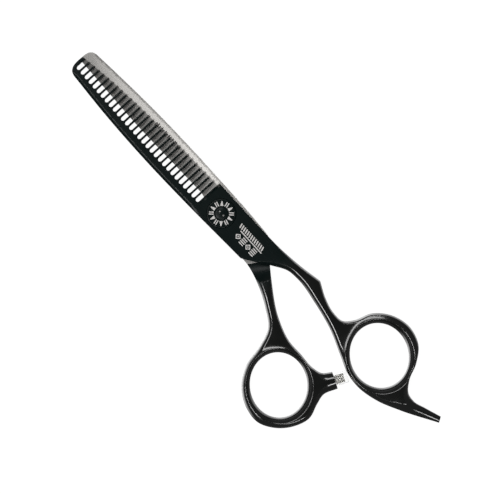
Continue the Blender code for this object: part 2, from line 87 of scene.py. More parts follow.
# Pivot
DISC_R, DISC_TOP = 4.75, 2.84
DISC_RIM_LOW, DISC_HUB_R, DISC_HUB_LOW = 2.25, 2.9, 1.42
DISC_GROOVE = (4.32, 0.05, 0.05)  # radius, half-width and depth
LIP = 0.08  # size of the broken edges of the disc and the screw
SCREW_R, SCREW_LOW, SCREW_NECK, SCREW_SEAT, SCREW_GAP = 1.5, -1.9, 1.4, 2.24, 0.03
SCREW_THREAD, SCREW_THREAD_STEPS = 0.25, 13  # depth, which is also half its pitch
SCREW_HEAD_R = 2.0
KEY_HOLE_R, KEY_HOLE_DEPTH, KEY_HOLE_OFFSET = 0.33, 0.4, 0.89
KEY_HOLE_PAD = (0.28, 0.39, 0.22)  # radius, and the depths of its two ends
INDEX_RADII = (2.5, 4.1)
COUNTERBORE_R, COUNTERBORE_FLOOR = 4.85, 0.75
BORE_R = 2.55
BARREL_BORE_R = 2.06
WASHER_POCKET_R, WASHER_POCKET_DEPTH = 4.16, 0.25
NUT_FLANGE_R, NUT_FLANGE_FLAT, NUT_FLANGE_THICK, NUT_GAP = 3.6, 3.0, 0.8, 0.06
NUT_BEVEL = 0.08
NUT_HOLE_R, NUT_HOLE_OFFSET, NUT_HOLE_TOP = 0.43, 2.1, -2.35
NUT_BARREL = (1.56, 2.0, -1.97, 1.3)  # inner and outer radius, and its ends
CHAMFER = 0.1
WALL = 0.004  # plan width of an upright step in a height field
SLOPE_STEP = 0.02  # distance over which a height field's slope is measured
NEAR_NORMAL = math.cos(math.radians(22))  # how close a face must be to the exact slope to be shaded with it

# Bumper
BOSS_LOW, BOSS_HIGH = (-10.65, -67.8), (-8.3, -62.6)
BUMPER_R, BUMPER_START, BUMPER_REACH = 1.95, 0.9, 4.4
STUD_R, STUD_REACH, STUD_DEPTH, STUD_PITCH = 1.6, 3.15, 3.6, 0.6
STUD_HOLE_R, STUD_HOLE_DEPTH = 1.66, 4.8
THREAD_DEPTH = 0.25
CAP_GAP, CAP_END_ROUND, CAP_LIP = 0.03, 0.6, 0.12

# Marks: printed tiles, line and bars on the comb plate, and etched dashes on the cutting blade
PRINT_SUNK, PRINT_PROUD, INDEX_PROUD = 0.01, 0.012, 0.004
TILE_X, TILE_TOP, TILE_PITCH, TILE_HALF = -1.05, -9.2, 2.35, 0.95
TILE_BARS = (0.15, 0.5, 0.675)  # near and far side of the first bar, and the pitch of the next
DIAMOND, DIAMOND_FRAME, DIAMOND_CORE = 1.0925, 0.42, 0.3
LINE_BOX = (0.6, 0.95, -18.4, -8.4)
BAR_COUNT, BAR_TOP, BAR_PITCH, BAR_THICK, BAR_X = 13, -7.7, 0.86, 0.45, (1.25, 2.75)
DASH_COUNT, DASH_START, DASH_PITCH, DASH_HALF = 14, 25.2, 0.84, 0.2
DASH_X, DASH_STAGGER, DASH_TOP = (3.4, 5.0), 0.3, -0.14

# Outlines, anticlockwise from above, the same as the CAD parts' outlines
COMB_HEEL = (6.15, 7.5)
COMB_TIP_CORNER = (0.9, BLADE_END)
COMB_TIP = [(-1.6, BLADE_END), (-3.4, 68.05), (-4.6, 67.15), (-5.15, 65.8)]
COMB_SPINE = [(-6.15, 50), (-6.6, 30), (-6.25, 10), (-5.45, -10), (-5.25, -15)]
FINGER_SHANK_INNER = [(-2.3, -19.5), (1.1, -24.4), (3.35, -28.4), (3.9, -33), (2.8, -42), (0.6, -52),
                      (-2.7, -60.5), (-4.95, -66.5), (-5.45, -71.5), (-4.0, -79), (-0.5, -86.7), (6.2, -98.4)]
HOOK_END = [(8.0, -97.3)]
FINGER_RING_OUTER = [(6.15, -91.8), (4.9, -87.8), (5.3, -84.7), (8.25, -81.75), (13.7, -79.15), (18.5, -75),
                     (20.3, -69), (18.45, -62), (13.95, -57.15), (8.4, -55), (5.5, -52.7), (5.1, -48.4),
                     (6.35, -43.4), (8.9, -38)]
COMB_PLATE_SIDE = [(7.5, -30.5), (6.45, -21.5), (6.2, -8), COMB_HEEL]

CUTTING_SPINE = [(6.85, -6), (7.05, 8), (7.1, 20), (6.8, 37), (5.85, 55), (5.05, 65.8)]
CUTTING_TIP = [(4.6, 67.2), (3.65, 68.05), (2.2, BLADE_END), (-0.1, BLADE_END)]
CUTTING_EDGE = [(-0.5, 55), (-0.85, 40), (-0.5, 22), (-0.25, 9.3)]
CUTTING_HEEL = [(-0.9, 7), (-2.8, 4.8), (-4.7, 0), (-4.95, -11.5), (-5.1, -18.5), (-6.85, -25),
                (-10.1, -32.1), (-14.2, -38), (-20.3, -40.5), (-27.1, -41.9), (-33.3, -46), (-36.95, -52.5),
                (-37.35, -58.3), (-34.6, -63.25), (-29.35, -67.3), (-24, -68.7), (-18.9, -66.95),
                (-15.6, -66.1), BOSS_LOW]
BOSS_FACE = [BOSS_HIGH]
THUMB_SHANK_INNER = [(-11.05, -60.6), (-12.1, -57.1), (-11.95, -51.5), (-11.9, -46), (-9.35, -37.9),
                     (-2.6, -27), (1.9, -21.05), (6.4, -15.6)]

# Picture: the object's point in its middle, its width there, and the object's turn
VIEW_CENTRE = (-1.24, -13.68)
VIEW_WIDTH = 161.04
VIEW_TURN = -42.5
LENS, SENSOR = 250.0, 36.0

# Finishes
SATIN_END = (-30.5, -24.5)  # Y where the coating is fully polished and where it is fully satin
STEEL_TONE = (1.18, 0.46)  # ground steel's brightness at the pivot and at the tip
UNDER_TEETH_SHADE_TONE = 0.43  # painted shade: the steel's brightness behind the line of the tooth tips, where the comb's teeth shade it and it mirrors their black coating

# Studio
OVERHEAD_GLOW, SIDE_GLOW, LEFT_GLOW, RIGHT_GLOW = 0.08, 0.16, 3.8, 1.6
LAMP_AWAY = 1.2
TABLE_GAP = 0.00005
LAMPS = [("top_box", 86, 25, 54, 11, 6.5),  # name, azimuth, tilt from overhead, width, height, glow
         ("left_box", 173, 27, 18, 13, 15),
         ("low_box", -116, 26, 11, 8, 12)]


# ---------------------------------------------------------------- materials

EVEN = (1, 1, 1)


def direction(azimuth, tilt):
    """The direction at a compass angle from +X and a tilt from overhead, in degrees."""
    turn, lean = math.radians(azimuth), math.radians(tilt)
    return Vector((math.cos(turn) * math.sin(lean), math.sin(turn) * math.sin(lean), math.cos(lean)))


class Graph:
    """Short calls for building a node tree."""

    def __init__(self, tree, place):
        self.nodes, self.links, self.place = tree.nodes, tree.links, place

    def noise(self, scale, stretch=EVEN, detail=2.0, roughness=0.5):
        """Noise with about one blob per 1/scale metres, drawn out by the stretch along each axis."""
        mapping = self.nodes.new("ShaderNodeMapping")
        mapping.inputs["Scale"].default_value = [scale / s for s in stretch]
        texture = self.nodes.new("ShaderNodeTexNoise")
        texture.inputs["Scale"].default_value = 1
        texture.inputs["Detail"].default_value = detail
        texture.inputs["Roughness"].default_value = roughness
        self.links.new(self.place, mapping.inputs["Vector"])
        self.links.new(mapping.outputs["Vector"], texture.inputs["Vector"])
        return texture.outputs["Fac"]

    def range(self, source, from_low, from_high, to_low, to_high, smooth=False):
        node = self.nodes.new("ShaderNodeMapRange")
        if smooth:
            node.interpolation_type = "SMOOTHSTEP"
        for label, value in zip(("From Min", "From Max", "To Min", "To Max"),
                                (from_low, from_high, to_low, to_high)):
            node.inputs[label].default_value = value
        self.links.new(source, node.inputs["Value"])
        return node.outputs["Result"]

    def math(self, operation, a, b):
        node = self.nodes.new("ShaderNodeMath")
        node.operation = operation
        for socket, value in zip(node.inputs, (a, b)):
            if isinstance(value, (int, float)):
                socket.default_value = value
            else:
                self.links.new(value, socket)
        return node.outputs["Value"]

    def times(self, a, b):
        """The product of two colours."""
        node = self.nodes.new("ShaderNodeVectorMath")
        node.operation = "MULTIPLY"
        for socket, value in zip(node.inputs, (a, b)):
            self.links.new(value, socket)
        return node.outputs["Vector"]

    def towards(self, azimuth, tilt):
        """How far the direction leans to a given one: 1 along it, -1 away from it."""
        node = self.nodes.new("ShaderNodeVectorMath")
        node.operation = "DOT_PRODUCT"
        node.inputs[1].default_value = direction(azimuth, tilt)
        self.links.new(self.place, node.inputs[0])
        return node.outputs["Value"]

    def mix(self, factor, low, high):
        node = self.nodes.new("ShaderNodeMix")
        node.data_type = "RGBA"
        for label, value in (("A", low), ("B", high)):
            socket = next(s for s in node.inputs if s.name == label and s.type == "RGBA")
            if isinstance(value, tuple):
                socket.default_value = (*value, 1)
            else:
                self.links.new(value, socket)
        self.links.new(factor, node.inputs["Factor"])
        return next(s for s in node.outputs if s.type == "RGBA")


class Shader(Graph):
    """A Principled material whose node tree is written as short calls."""

    def __init__(self, name, colour, roughness, metallic=0.0, **constants):
        self.material = bpy.data.materials.new(name)
        self.material.use_nodes = True
        tree = self.material.node_tree
        super().__init__(tree, tree.nodes.new("ShaderNodeTexCoord").outputs["Object"])
        self.main = self.nodes["Principled BSDF"]
        self.set(base_color=(*colour, 1), roughness=roughness, metallic=metallic, **constants)

    def set(self, **values):
        for name, value in values.items():
            label = name.replace("_", " ").title().replace("Ior", "IOR")
            self.main.inputs[label].default_value = value

    def link(self, source, label):
        self.links.new(source, self.main.inputs[label])

    def height_of(self, axis):
        node = self.nodes.new("ShaderNodeSeparateXYZ")
        self.links.new(self.place, node.inputs["Vector"])
        return node.outputs[axis]

    def bump(self, height, depth):
        """Bumps of the given depth in metres where height goes from 0 to 1."""
        node = self.nodes.new("ShaderNodeBump")
        node.inputs["Strength"].default_value = 1
        node.inputs["Distance"].default_value = depth
        self.links.new(height, node.inputs["Height"])
        self.link(node.outputs["Normal"], "Normal")


def grey(level):
    return level, level, level


def black_coating():
    """Hard black coating: satin with faint lengthwise grain on the blade, polished on the handles."""
    made = Shader("black_coating", (0.0028, 0.0034, 0.003), 0.1, specular_ior_level=0.8)
    along = made.height_of("Y")
    on_blade = made.range(along, SATIN_END[0] * MM, SATIN_END[1] * MM, 0, 1)
    grain = made.noise(16000, stretch=(1, 30, 1), detail=3)
    smudges = made.noise(160, detail=4)
    patches = made.noise(420, detail=5, roughness=0.65)
    tone = made.mix(patches, (0.0018, 0.0022, 0.0020), (0.0032, 0.0038, 0.0034))
    plate_tone = made.mix(grain, (0.0022, 0.0052, 0.0052), (0.0046, 0.0088, 0.0086))
    made.link(made.mix(on_blade, tone, plate_tone), "Base Color")
    polished = made.range(smudges, 0.35, 0.75, 0.12, 0.17)
    satin = made.range(grain, 0.3, 0.7, 0.24, 0.32)
    made.link(made.range(on_blade, 0, 1, 0.8, 0.11), "Specular IOR Level")
    difference = made.math("SUBTRACT", satin, polished)
    made.link(made.math("ADD", polished, made.math("MULTIPLY", difference, on_blade)), "Roughness")
    fine = made.math("MULTIPLY", grain, on_blade)
    orange_peel = made.math("MULTIPLY", made.noise(700, detail=1), 0.4)
    made.bump(made.math("ADD", fine, orange_peel), 0.000003)
    return made.material


def ground_steel():
    """Bare steel ground along the blade, with faint uneven polish, darker towards the tip, and with painted
    shade behind the line of the tooth tips, where the comb's teeth shade it.
    """
    made = Shader("ground_steel", (0.55, 0.535, 0.51), 0.5, metallic=1.0)
    y = made.height_of("Y")
    grain = made.noise(9000, stretch=(1, 45, 1), detail=4, roughness=0.6)
    cross_grain = made.noise(5200, stretch=(9, 1, 1), detail=3)
    clouds = made.noise(110, stretch=(1, 2.5, 1), detail=4)
    mixed = made.math("ADD", made.math("MULTIPLY", grain, 0.7), made.math("MULTIPLY", cross_grain, 0.3))
    ground = made.mix(made.range(mixed, 0.35, 0.65, 0, 1), (0.52, 0.507, 0.486), (0.58, 0.566, 0.545))
    # darker towards the tip: the steel's colour falls from the first value of STEEL_TONE at the pivot to the
    # second at the tip
    tone_along_blade = made.mix(made.range(y, 0.0, BLADE_END * MM, 0, 1), *(grey(tone) for tone in STEEL_TONE))
    # painted shade: behind the line of the tooth tips the steel is darkened, where the comb's teeth shade it
    # and it mirrors their black coating
    start, fall, curl = TOOTH_TIPS
    along = made.range(y, FIRST_GAP * MM, BLADE_END * MM, 0, 1)
    drop = made.math("ADD", made.math("MULTIPLY", along, fall),
                     made.math("MULTIPLY", made.math("POWER", along, 3), curl))
    tip_line = made.math("SUBTRACT", start, drop)
    behind = made.math("SUBTRACT", tip_line, made.math("MULTIPLY", made.height_of("X"), 1 / MM))
    painted_shade_under_teeth = made.mix(made.range(behind, -0.15, 0.25, 0, 1, smooth=True), grey(1), grey(UNDER_TEETH_SHADE_TONE))
    made.link(made.times(made.times(ground, tone_along_blade), painted_shade_under_teeth), "Base Color")
    rough = made.range(mixed, 0.3, 0.7, 0.46, 0.56)
    made.link(made.math("ADD", rough, made.range(clouds, 0.3, 0.7, -0.03, 0.05)), "Roughness")
    made.bump(mixed, 0.0000004)
    return made.material


def simple_finish(name, colour, roughness, noise, tint, rough, span=None, depth=0, **constants):
    """A finish whose colour and roughness follow one noise of (scale, stretch, detail, roughness)."""
    made = Shader(name, colour, roughness, **constants)
    pattern = made.noise(*noise)
    factor = made.range(pattern, *span, 0, 1) if span else pattern
    made.link(made.mix(factor, *tint), "Base Color")
    made.link(made.range(pattern, 0.3, 0.7, *rough), "Roughness")
    if depth:
        made.bump(pattern, depth)
    return made.material


# ---------------------------------------------------------------- plan geometry

def smooth_step(start, end, value):
    t = np.clip((value - start) / (end - start), 0, 1)
    return t * t * (3 - 2 * t)


def curve_through(points, step):
    """Points about a step apart on a smooth curve through the given ones, both ends included."""
    points = [Vector(p) for p in points]
    padded = [2 * points[0] - points[1], *points, 2 * points[-1] - points[-2]]
    slopes = []
    for before, here, after in zip(padded, padded[1:], padded[2:]):
        back, ahead = here - before, after - here
        near, far = back.length, ahead.length
        slopes.append((back / near * far + ahead / far * near) / (near + far))
    made = []
    for start, end, leave, arrive in zip(points, points[1:], slopes, slopes[1:]):
        span = (end - start).length
        pieces = max(1, round(span / step))
        for i in range(pieces):
            t = i / pieces
            u = t * t * (3 - 2 * t)
            bulge = leave * t * (1 - t) ** 2 - arrive * t**2 * (1 - t)
            made.append(start * (1 - u) + end * u + span * bulge)
    return [*made, points[-1]]


def outline(stretches):
    """(closed loop of points, the list of its stretches) from [(points, step), ...]."""
    loop, parts = [], []
    start = stretches[-1][0][-1]
    for points, step in stretches:
        part = curve_through([start, *points], step) if step else [Vector(start), *map(Vector, points)]
        parts.append(part)
        loop += part[:-1]
        start = points[-1]
    return loop, parts


def ellipse(centre, long_half, short_half, degrees, points=220):
    turn = Matrix.Rotation(math.radians(degrees), 2)
    angles = (2 * math.pi * i / points for i in range(points))
    return [Vector(centre) + turn @ Vector((long_half * math.cos(a), short_half * math.sin(a)))
            for a in angles]


def circle(radius, points=72):
    return ellipse((0, 0), radius, radius, 0, points)


def flange_outline(radius, flat, points=12):
    """A circle with two flats, as a closed loop."""
    corner = math.acos(flat / radius)
    return [Vector((radius * math.cos(a), radius * math.sin(a)))
            for side in (0, math.pi)
            for a in np.linspace(side + corner, side + math.pi - corner, points)]


def plan(points):
    return np.array([tuple(p)[:2] for p in points], float)


def distance_to(points, path, closed=False):
    """Distance in the plan from each point to a path."""
    path = plan(path)
    ends = np.roll(path, -1, axis=0) if closed else path[1:]
    starts = path if closed else path[:-1]
    nearest = np.full(len(points), np.inf)
    for a, b in zip(starts, ends):
        along = b - a
        t = np.clip((points - a) @ along / max(along @ along, 1e-12), 0, 1)
        away = points - a - t[:, None] * along
        nearest = np.minimum(nearest, (away**2).sum(axis=1))
    return np.sqrt(nearest)


def inside(points, loop, holes=()):
    """Whether each point lies in a closed loop and outside the holes."""
    loop = plan(loop)
    found = np.zeros(len(points), bool)
    for (ax, ay), (bx, by) in zip(loop, np.roll(loop, -1, axis=0)):
        if ay == by:
            continue
        crosses = (ay > points[:, 1]) != (by > points[:, 1])
        found ^= crosses & (points[:, 0] < ax + (points[:, 1] - ay) * (bx - ax) / (by - ay))
    for hole in holes:
        found &= ~inside(points, hole)
    return found


def beside(path, offsets, closed=False):
    """Points at the given distances to the left of a path."""
    path = [Vector(p) for p in path]
    around = [path[-1], *path, path[0]] if closed else path
    made = []
    for before, here, after in zip(around, around[1:], around[2:]):
        along = (after - before).normalized()
        made += [here + offset * Vector((-along.y, along.x)) for offset in offsets]
    return made


def honeycomb(x_low, x_high, y_low, y_high, pitch):
    """Evenly spread points over a rectangle."""
    rise = pitch * math.sqrt(3) / 2
    made = []
    for row in range(int((y_high - y_low) / rise) + 1):
        shift = pitch / 2 * (row % 2)
        made += [Vector((x, y_low + row * rise)) for x in np.arange(x_low + shift, x_high, pitch)]
    return made


def thin_out(points, loop, holes, closest, edge_gap):
    """The points inside the loop and outside the holes, no two of them nearer than closest. Earlier points
    win. edge_gap is how near an outline they may come."""
    points = plan(points)
    points = points[inside(points, loop, holes)]
    away = np.min([distance_to(points, ring, closed=True) for ring in (loop, *holes)], axis=0)
    points = points[away > edge_gap]
    cells, made = {}, []
    for p in points:
        cell = (int(p[0] // closest), int(p[1] // closest))
        near = [q for i in (-1, 0, 1) for j in (-1, 0, 1) for q in cells.get((cell[0] + i, cell[1] + j), ())]
        if all((p[0] - q[0]) ** 2 + (p[1] - q[1]) ** 2 > closest**2 for q in near):
            cells.setdefault(cell, []).append(p)
            made.append(p)
    return made


def vertex(bm, x, y, z):
    """A vertex from millimetres, z from the middle plane."""
    return bm.verts.new((x * MM, y * MM, (MID + z) * MM))


def solid_between(name, loop, holes, guides, crease, extra, heights, slots):
    """A closed solid over the area inside the loop, between the two heights that heights(points) gives.
    guides are closed loops, and crease is one line, that faces don't cross. slots(centres, side) gives each
    face's material index for side -1 (under), 0 (walls) and 1 (over)."""
    rings = [loop, *holes, *guides]
    flat = [Vector(p) for ring in rings for p in ring]
    edges, first = [], 0
    for ring in rings:
        edges += [(first + i, first + (i + 1) % len(ring)) for i in range(len(ring))]
        first += len(ring)
    edges += [(first + i, first + i + 1) for i in range(len(crease) - 1)]
    flat += [Vector(p) for p in (*crease, *extra)]
    points, _, faces = geometry.delaunay_2d_cdt(flat, edges, [], 0, 1e-7)[:3]
    points = plan(points)
    centres = np.array([points[list(f)].mean(axis=0) for f in faces])
    keep = inside(centres, loop, holes)
    faces = [f for f, kept in zip(faces, keep) if kept]
    centres = centres[keep]
    low, high = heights(points)
    lean = []
    for axis in ((1, 0), (0, 1)):
        step = np.array(axis) * SLOPE_STEP
        ahead, behind = heights(points + step), heights(points - step)
        lean.append([(a - b) / (2 * SLOPE_STEP) for a, b in zip(ahead, behind)])
    bm = bmesh.new()
    used = sorted({i for f in faces for i in f})
    under = {i: vertex(bm, *points[i], low[i]) for i in used}
    over = {i: vertex(bm, *points[i], high[i]) for i in used}
    directed = set()
    for f, below, above in zip(faces, slots(centres, -1), slots(centres, 1)):
        bm.faces.new([over[i] for i in f]).material_index = int(above)
        bm.faces.new([under[i] for i in reversed(f)]).material_index = int(below)
        directed |= {(f[k], f[(k + 1) % 3]) for k in range(3)}
    walls = [(a, b) for a, b in directed if (b, a) not in directed]
    middles = np.array([(points[a] + points[b]) / 2 for a, b in walls])
    for (a, b), index in zip(walls, slots(middles, 0)):
        bm.faces.new([under[a], under[b], over[b], over[a]]).material_index = int(index)
    obj = finished(name, bm, 30)
    normals = np.array([(lean[0][0][i], lean[1][0][i], -1) for i in used]
                       + [(-lean[0][1][i], -lean[1][1][i], 1) for i in used])
    normals /= np.linalg.norm(normals, axis=1)[:, None]
    mesh = obj.data
    corners = []
    for polygon in mesh.polygons:
        for index in polygon.vertices:
            normal = Vector(normals[index])
            corners.append(normal if normal.dot(polygon.normal) > NEAR_NORMAL else Vector((0, 0, 0)))
    mesh.normals_split_custom_set(corners)
    return obj


def finished(name, bm, sharp=35):
    """An object made from a bmesh, shaded smooth but for its sharp edges."""
    bmesh.ops.recalc_face_normals(bm, faces=bm.faces)
    mesh = bpy.data.meshes.new(name)
    bm.to_mesh(mesh)
    bm.free()
    mesh.shade_smooth()
    mesh.set_sharp_from_angle(angle=math.radians(sharp))
    obj = bpy.data.objects.new(name, mesh)
    bpy.context.scene.collection.objects.link(obj)
    return obj


def place(obj, body, slot, materials, *nodes):
    """Gives a piece its finish and its body, and hides the CAD nodes it stands for."""
    for material in materials:
        obj.data.materials.append(material)
    if nodes:
        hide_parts(*nodes)
    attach(obj, body)
    return obj


# ---------------------------------------------------------------- the two halves

def quarter_round(distance, radius):
    """0 at an edge, 1 once the distance reaches the radius, along a quarter circle."""
    return np.sqrt(1 - (1 - np.clip(distance / radius, 0, 1)) ** 2)


def tooth_tip_x(y):
    start, fall, curl = TOOTH_TIPS
    t = (y - FIRST_GAP) / (BLADE_END - FIRST_GAP)
    return start - fall * t - curl * t**3


def gap_root_x(y):
    least, bend, middle, scale = GAP_ROOTS
    t = (y - middle) / scale
    return least + bend * t**2


def comb_teeth():
    """Points along the comb's toothed side, from the heel to the tip."""
    half_gap = GAP_WIDTH / 2
    made = []
    for k in range(TEETH):
        middle = FIRST_GAP + k * TOOTH_PITCH
        low, high = middle - half_gap, middle + half_gap
        root = gap_root_x(middle) + half_gap
        made += [(x, low) for x in np.linspace(tooth_tip_x(low) if k else COMB_HEEL[0], root, 6)]
        for i in range(1, 12):
            angle = math.pi * i / 12
            made.append((root - half_gap * math.sin(angle), middle - half_gap * math.cos(angle)))
        made += [(x, high) for x in np.linspace(root, tooth_tip_x(high), 6)]
    return [*made, COMB_TIP_CORNER]


def blade_thickness(y):
    full = HALF_THICK - RIDE
    return full + (BLADE_TIP_THICK - full) * smooth_step(4, BLADE_END + 25, y) * 1.25


def edge_radius(points, full):
    """How wide the rounding of a handle's outer edge is, given its full width on that side."""
    y = points[:, 1]
    radius = PLATE_EDGE_ROUND + (full - PLATE_EDGE_ROUND) * smooth_step(*ROUND_RAMP, y)
    radius += (HOOK_EDGE_ROUND - full) * smooth_step(*HOOK_ROUND_RAMP, y)
    boss = (Vector(BOSS_LOW) + Vector(BOSS_HIGH)) / 2
    from_boss = np.linalg.norm(points - np.array(boss), axis=1)
    return radius + (BOSS_EDGE_ROUND - radius) * smooth_step(*BOSS_ROUND_RAMP, from_boss)


def crown(distance, edge):
    """0 at an edge, 1 once past the crown, which is gentler than the edge it starts from."""
    return 1 - (1 - np.clip(distance / (edge + CROWN_WIDE), 0, 1)) ** 2


def side_section(points, distance, radius):
    """A handle's outer side: a quarter circle that runs into the crown, or a roof's slope on the hook."""
    roof = HOOK_ROOF * smooth_step(*HOOK_ROOF_RAMP, points[:, 1])
    edge = (1 - roof) * quarter_round(distance, radius) + roof * np.clip(distance / radius, 0, 1)
    return (1 - CROWN_SHARE) * edge + CROWN_SHARE * crown(distance, radius)


def ring_bevel(points, hole):
    """Width of the bevel inside a ring, which is wider at the bottom of the ring than at its top."""
    away = points - np.array(hole).mean(axis=0)
    return RING_BEVEL - RING_BEVEL_SHIFT * away[:, 1] / np.hypot(*away.T)


def ring_section(points, hole):
    """The inside of a ring: a rounded foot, a straight slope, a rounded crest, and a surface that falls away
    behind it and levels out."""
    distance, width = distance_to(points, hole, closed=True), ring_bevel(points, hole)
    away = points - np.array(hole).mean(axis=0)
    dish = DISH_SLOPE * smooth_step(*DISH_FADE, away[:, 1] / np.hypot(*away.T))
    along = distance / width
    past = np.clip((along - 1 + CREST) / (2 * CREST), 0, 1)
    ramp = np.minimum(along, 1 - CREST) + 2 * CREST * (past - (1 + dish) * past**2 / 2)
    beyond = 1 - np.exp(-np.maximum(distance - width * (1 + CREST), 0) / DISH_WIDE)
    fall = dish * (DISH_WIDE / width * beyond + CREST) * smooth_step(*DISH_REACH, distance)
    ramp -= np.where(along > 1 + CREST, fall - CREST * dish, 0)
    return RING_FOOT_SHARE * quarter_round(distance, width) + (1 - RING_FOOT_SHARE) * ramp


def handle_half_height(points, sides, hole):
    """Half the thickness of a handle, round at its outer sides and bevelled inside the ring."""
    y = points[:, 1]
    depth = HALF_THICK * (1 - HANDLE_EDGE_LAND)
    share = PLATE_EDGE_DROP / depth + (1 - PLATE_EDGE_DROP / depth) * smooth_step(*ROUND_RAMP, y)
    section = ring_section(points, hole)
    for side, full in zip(sides, HANDLE_EDGE_ROUND):
        radius = edge_radius(points, full)
        section = section * (1 - share * (1 - side_section(points, distance_to(points, side), radius)))
    start, end, left = HOOK_TAPER
    taper = 1 + (left - 1) * smooth_step(start, end, y)
    return HALF_THICK * taper * (HANDLE_EDGE_LAND + (1 - HANDLE_EDGE_LAND) * section)


def cove(points, side):
    """Height of the cove over the inner face. side is -1 where the shank leads to the left."""
    past = points[:, 0] * side * COVE_NORMAL.x - points[:, 1] * COVE_NORMAL.y - COVE_START
    past = np.clip(past, 0, COVE_RADIUS * 0.96)
    return COVE_RADIUS - np.sqrt(COVE_RADIUS**2 - past**2)


def seam_across(loop, side):
    """Points inside an outline on the line where the bare steel of its cove ends."""
    normal = Vector((side * COVE_NORMAL.x, -COVE_NORMAL.y))
    along = Vector((-normal.y, normal.x))
    line = [normal * (COVE_START + COVE_BARE) + along * t for t in np.arange(-30, 30, 0.5)]
    return [p for p, kept in zip(line, inside(plan(line), loop)) if kept]


def past_cove(points, side, margin):
    """Whether each point lies past the line where the cove starts, by the margin."""
    return points[:, 0] * side * COVE_NORMAL.x - points[:, 1] * COVE_NORMAL.y > COVE_START + margin


def handle_points(loop, hole, sides, x_range, y_range):
    """Where a handle's surface is sampled: dense beside its edges, even elsewhere."""
    around = np.array(hole)
    outward = around - around.mean(axis=0)
    outward *= (ring_bevel(around, hole) / np.hypot(*outward.T))[:, None]
    made = [Vector(p) for offset in RING_OFFSETS for p in around + outward * offset]
    for side in sides:
        made += beside(side, HANDLE_OFFSETS)
    made += honeycomb(*x_range, *y_range, 0.36)
    return thin_out(made, loop, [hole], 0.06, 0.03)


def joined(blade, loop, hole, sides, x_range, y_low):
    """The blade's samples above the split, and the handle's below it."""
    grip = handle_points(loop, hole, sides, x_range, (y_low, SAMPLES_SPLIT))
    return [p for p in blade if p[1] > SAMPLES_SPLIT] + [p for p in grip if p[1] <= SAMPLES_SPLIT]


def cutting_outline():
    return outline([(CUTTING_SPINE, 1.0), (CUTTING_TIP, 0.4), (CUTTING_EDGE, 1.0),
                    (CUTTING_HEEL, 0.5), (BOSS_FACE, 0.3), (THUMB_SHANK_INNER, 0.5)])


def comb_half(coating, steel):
    """The comb blade, its shank, the finger ring and the hook."""
    loop, parts = outline([(comb_teeth(), None), (COMB_TIP, 0.4), (COMB_SPINE, 0.8),
                           (FINGER_SHANK_INNER, 0.5), (HOOK_END, 0.3), (FINGER_RING_OUTER, 0.5),
                           (COMB_PLATE_SIDE, 0.8)])
    spine, shank, ring, side = parts[2], parts[3], parts[5], parts[6]
    hole = ellipse(*FINGER_HOLE)
    left, right = [*spine, *shank[1:]], [*ring, *side[1:]]
    other_half = cutting_outline()[0]

    def heights(points):
        x, y = points.T
        from_axis = np.hypot(x, y)
        handle = handle_half_height(points, [left, right], hole)
        to_handle = smooth_step(PLATE_END, HANDLE_START, y)
        along_tooth = np.clip((x - gap_root_x(y)) / (tooth_tip_x(y) - gap_root_x(y)), 0, 1)
        on_blade = y > COMB_HEEL[1] + 0.01
        thick = blade_thickness(y) * (1 - (1 - TOOTH_TIP_THICK) * along_tooth**1.3 * on_blade)
        bevel_wide, bevel_deep = SPINE_BEVEL
        near_spine = np.clip(1 - distance_to(points, spine) / bevel_wide, 0, 1)
        thick -= bevel_deep * near_spine * smooth_step(2, 12, y)
        facet_long, facet_drop = TOOTH_TIP_FACET
        thick -= facet_drop * np.clip(1 - (tooth_tip_x(y) - x) / facet_long, 0, 1) * on_blade
        from_outline = distance_to(points, loop, closed=True)
        edge = PLATE_EDGE_ROUND + (TOOTH_EDGE_ROUND - PLATE_EDGE_ROUND) * smooth_step(7, 8, y)
        plate = RIDE + thick - edge * (1 - quarter_round(from_outline, edge))
        high = plate + (handle - plate) * to_handle
        clear = np.where(inside(points, other_half), 0, distance_to(points, other_half, closed=True))
        low = np.maximum(RIDE - cove(points, 1) * smooth_step(0, COVE_CLEAR, clear), -handle)
        low = np.where(y > PLATE_END, RIDE, low)
        at_wall = np.clip((from_axis - COUNTERBORE_R) / WALL, 0, 1)
        rim = high - CHAMFER * np.clip(1 - (from_axis - COUNTERBORE_R) / CHAMFER, 0, 1)
        high = np.where(from_axis < COUNTERBORE_R + CHAMFER,
                        COUNTERBORE_FLOOR + (rim - COUNTERBORE_FLOOR) * at_wall, high)
        return low, high

    def slots(centres, face_side):
        if face_side < 0:
            return ~past_cove(centres, 1, COVE_BARE)
        on_blade = centres[:, 1] > COMB_HEEL[1]
        tip_from = TOOTH_TIP_FACET[0] if face_side else 0.1
        at_tip = tooth_tip_x(centres[:, 1]) - centres[:, 0] < tip_from
        return on_blade & at_tip & (centres[:, 1] < BLADE_END - 1)

    guides = [circle(COUNTERBORE_R + r) for r in (0, WALL, CHAMFER, 0.35)]
    inset = [p for p in beside(loop, [TOOTH_EDGE_ROUND * 0.35, TOOTH_EDGE_ROUND], closed=True)
             if p.y > COMB_HEEL[1] - 0.5]
    facets = [Vector((tooth_tip_x(y) - TOOTH_TIP_FACET[0], y)) for k in range(1, TEETH)
              for y in FIRST_GAP + (k - 0.5) * TOOTH_PITCH + np.linspace(-0.2, 0.2, 3)]
    plate = beside(spine, [0.04, 0.12, 0.3, 0.6, 0.9, 1.4]) + beside(side, [0.05, 0.15, 0.3, 0.7])
    plate += honeycomb(-7, 7, -16, 8, 0.8) + honeycomb(-7, 1, 8, 69, 1.1)
    blade = thin_out([*facets, *plate], loop, [circle(COUNTERBORE_R + 0.5)], 0.11, 0.03)
    blade += thin_out(inset, loop, [], 0.03, 0.015)
    samples = joined(blade, loop, hole, [shank, ring, side], (-8, 21), -99)
    obj = solid_between("comb_half", loop, [hole, circle(BORE_R)], guides, seam_across(loop, 1), samples,
                        heights, slots)
    return place(obj, "finger_half", "black_coating", [coating, steel], "comb_blade")


